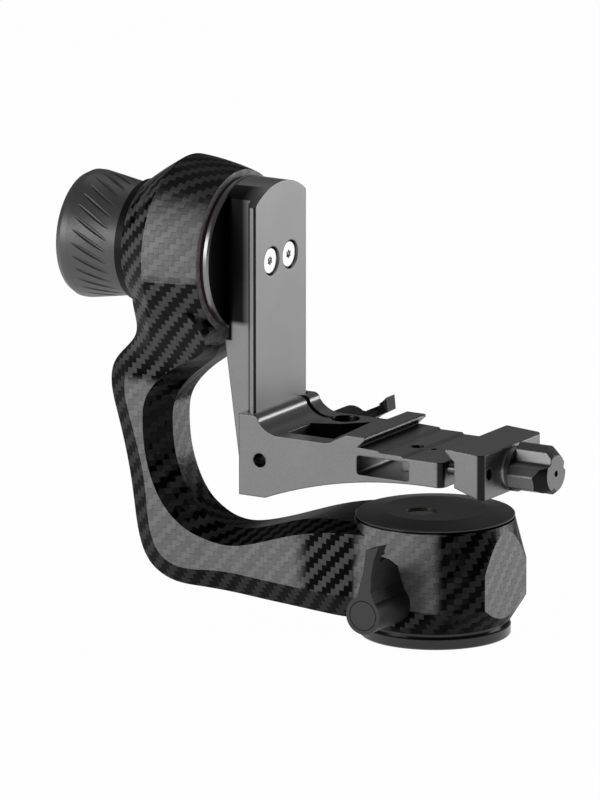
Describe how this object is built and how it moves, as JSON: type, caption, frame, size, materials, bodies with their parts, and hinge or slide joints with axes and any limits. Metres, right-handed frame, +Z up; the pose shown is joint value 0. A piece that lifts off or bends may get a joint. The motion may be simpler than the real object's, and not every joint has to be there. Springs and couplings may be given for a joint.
{
  "type": "gimbal tripod head",
  "caption": "Gimbal tripod head: round base, carbon U-arm, swing arm on a side axle, and a platform with a dovetail lens clamp, locked by knobs and levers.",
  "frame": {"origin": "centre of the round base's underside, on the pan axis", "axes": "+Z up along the pan axis; +X along the tilt axis, from the tilt knob towards the clamp knob; +Y along the lens"},
  "size_m": [0.2162, 0.1042, 0.1798],
  "materials": {
    "anodised_gray": "fine bead-blasted gray anodising",
    "anodised_black": "satin black anodising",
    "carbon_twill": "clear-coated 2 by 2 carbon twill",
    "lever_black": "matte dark gray powder coat",
    "machined": "machined",
    "steel": "stainless",
    "bearing_steel": "polished",
    "brass": "turned",
    "nylon": "plain",
    "fibre": "red-brown pressed fibre",
    "seal": "soft",
    "level_cup": "white",
    "level_fluid": "yellow-green fluid",
    "level_lens": "clear"
  },
  "bodies": {
    "base": {"base_plate": "anodised_black", "tripod_insert": "steel", "base_screws": "steel", "dust_seal": "seal", "pan_spindle": "machined", "pan_inner_rings": "bearing_steel", "pan_lock_nut": "machined", "pan_cap": "anodised_black", "level_cup": "level_cup", "level_fluid": "level_fluid", "level_lens": "level_lens"},
    "arm": {"gimbal_arm": "carbon_twill", "pan_sleeve": "machined", "pan_outer_rings": "bearing_steel", "pan_balls": "bearing_steel", "pan_bush": "brass", "pan_shoe": "nylon", "pan_washer": "steel", "tilt_sleeve": "machined", "tilt_spacer": "machined", "tilt_outer_rings": "bearing_steel", "tilt_balls": "bearing_steel", "tilt_washer": "fibre", "tilt_collar": "anodised_black"},
    "pan_lever": {"pan_lever_handle": "lever_black", "pan_lock_screw": "steel", "pan_lever_cap": "lever_black"},
    "tilt_knob": {"tilt_knob_grip": "anodised_black", "tilt_knob_nut": "machined", "tilt_knob_cap": "anodised_black"},
    "swing_arm": {"tilt_spindle": "machined", "tilt_inner_rings": "bearing_steel", "tilt_lock_nut": "machined", "tilt_brake_pad": "nylon", "swing_disc": "anodised_gray", "swing_rail": "anodised_gray", "swing_screws": "steel", "rail_stop_pin": "steel"},
    "platform": {"platform_bracket": "anodised_gray", "rail_pad": "nylon", "jaw_pins": "steel", "height_washer": "steel"},
    "height_lever": {"height_lever_handle": "lever_black", "height_lock_bolt": "steel", "height_lever_cap": "lever_black"},
    "jaw": {"clamp_jaw": "anodised_gray", "clamp_washer": "steel"},
    "clamp_knob": {"clamp_knob_grip": "anodised_gray", "clamp_screw": "steel", "clamp_clip": "steel"}
  },
  "joints": [
    {"name": "pan", "type": "hinge", "parent": "base", "child": "arm", "pos_m": [0, 0, 0.0275], "axis": [0, 0, 1], "continuous": true},
    {"name": "pan_lever_turn", "type": "hinge", "parent": "arm", "child": "pan_lever", "pos_m": [0, -0.0437, 0.0185], "axis": [0, -1, 0], "range_deg": [0, 90]},
    {"name": "tilt_knob_turn", "type": "hinge", "parent": "arm", "child": "tilt_knob", "pos_m": [-0.147, 0, 0.143], "axis": [-1, 0, 0], "range_deg": [0, 360]},
    {"name": "tilt", "type": "hinge", "parent": "arm", "child": "swing_arm", "pos_m": [-0.09, 0, 0.143], "axis": [1, 0, 0], "continuous": true},
    {"name": "height_slide", "type": "slide", "parent": "swing_arm", "child": "platform", "axis": [0, 0, 1], "range_m": [0, 0.045]},
    {"name": "height_lever_turn", "type": "hinge", "parent": "platform", "child": "height_lever", "pos_m": [-0.0665, 0.036, 0.0661], "axis": [0, 1, 0], "range_deg": [0, 90]},
    {"name": "jaw_slide", "type": "slide", "parent": "platform", "child": "jaw", "axis": [-1, 0, 0], "range_m": [0, 0.0046]},
    {"name": "clamp_turn", "type": "hinge", "parent": "jaw", "child": "clamp_knob", "pos_m": [0.045, 0, 0.0709], "axis": [-1, 0, 0], "range_deg": [0, 1660]}
  ],
  "couplings": [
    {"joint": "clamp_turn", "follows": "jaw_slide", "rad_per_m": 6283.2}
  ]
}
